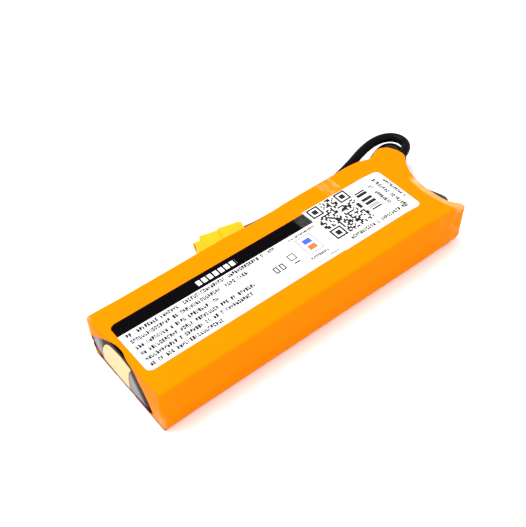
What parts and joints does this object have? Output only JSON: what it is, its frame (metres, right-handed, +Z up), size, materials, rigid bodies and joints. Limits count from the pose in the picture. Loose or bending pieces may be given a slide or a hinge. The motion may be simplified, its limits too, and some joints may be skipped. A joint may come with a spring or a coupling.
{
  "type": "lipo battery pack",
  "caption": "Flat soft lithium-polymer battery pack in orange shrink film, with two leads running back to a yellow two-pole bullet connector.",
  "frame": {"origin": "middle of the underside of the pack's film, the leads and their connector left out", "axes": "+X along the pack to the end where the leads leave, +Y to the side where the leads and the connector lie, +Z up through the labels"},
  "size_m": [0.1806, 0.0723, 0.0233],
  "materials": {
    "film_orange": "glossy shrink film",
    "label_white": "satin white sticker with black print",
    "board_black": "glossy black board",
    "tape_cream": "creped paper tape",
    "foam_black": "dense black foam",
    "cover_sheet": "grey stiff sheet",
    "cell_pouch": "embossed aluminium laminate",
    "adhesive": "double-sided adhesive tape",
    "tab_aluminium": "bare aluminium strip",
    "tab_nickel": "nickel-plated strip",
    "sealant": "dark polymer strip",
    "board_green": "glass-fibre laminate",
    "solder": "bright solder",
    "insulator": "fish paper",
    "stack_tape": "amber film tape",
    "lead_black": "silicone rubber",
    "lead_red": "silicone rubber",
    "sleeve_black": "shrink sleeve",
    "connector_yellow": "moulded nylon",
    "gold": "gold-plated brass"
  },
  "bodies": {
    "root": {"shrink_film": "film_orange", "main_label": "label_white", "data_label": "label_white", "near_end_board": "board_black", "cream_tape": "tape_cream", "far_end_pad": "foam_black", "bottom_cover_sheet": "cover_sheet", "top_cover_sheet": "cover_sheet", "tab_board": "board_green", "series_link_front": "tab_nickel", "series_link_back": "tab_nickel", "negative_bus_strip": "tab_nickel", "positive_bus_strip": "tab_nickel", "solder_joints": "solder", "board_insulator": "insulator", "stack_tape_near": "stack_tape", "stack_tape_far": "stack_tape", "lead_negative": "lead_black", "lead_positive": "lead_red", "lead_exit_sleeve": "sleeve_black", "tinned_end_negative": "solder", "tinned_end_positive": "solder", "adhesive_pad_lower": "adhesive", "adhesive_pad_upper": "adhesive", "connector_housing": "connector_yellow", "connector_cap": "connector_yellow", "socket_negative": "gold", "socket_positive": "gold", "cup_conductor_negative": "solder", "cup_conductor_positive": "solder", "cell_1": "cell_pouch", "tab_sealant_1": "sealant", "tab_negative_1": "tab_nickel", "tab_positive_1": "tab_aluminium", "cell_2": "cell_pouch", "tab_sealant_2": "sealant", "tab_negative_2": "tab_nickel", "tab_positive_2": "tab_aluminium", "cell_3": "cell_pouch", "tab_sealant_3": "sealant", "tab_negative_3": "tab_nickel", "tab_positive_3": "tab_aluminium"}
  },
  "joints": []
}
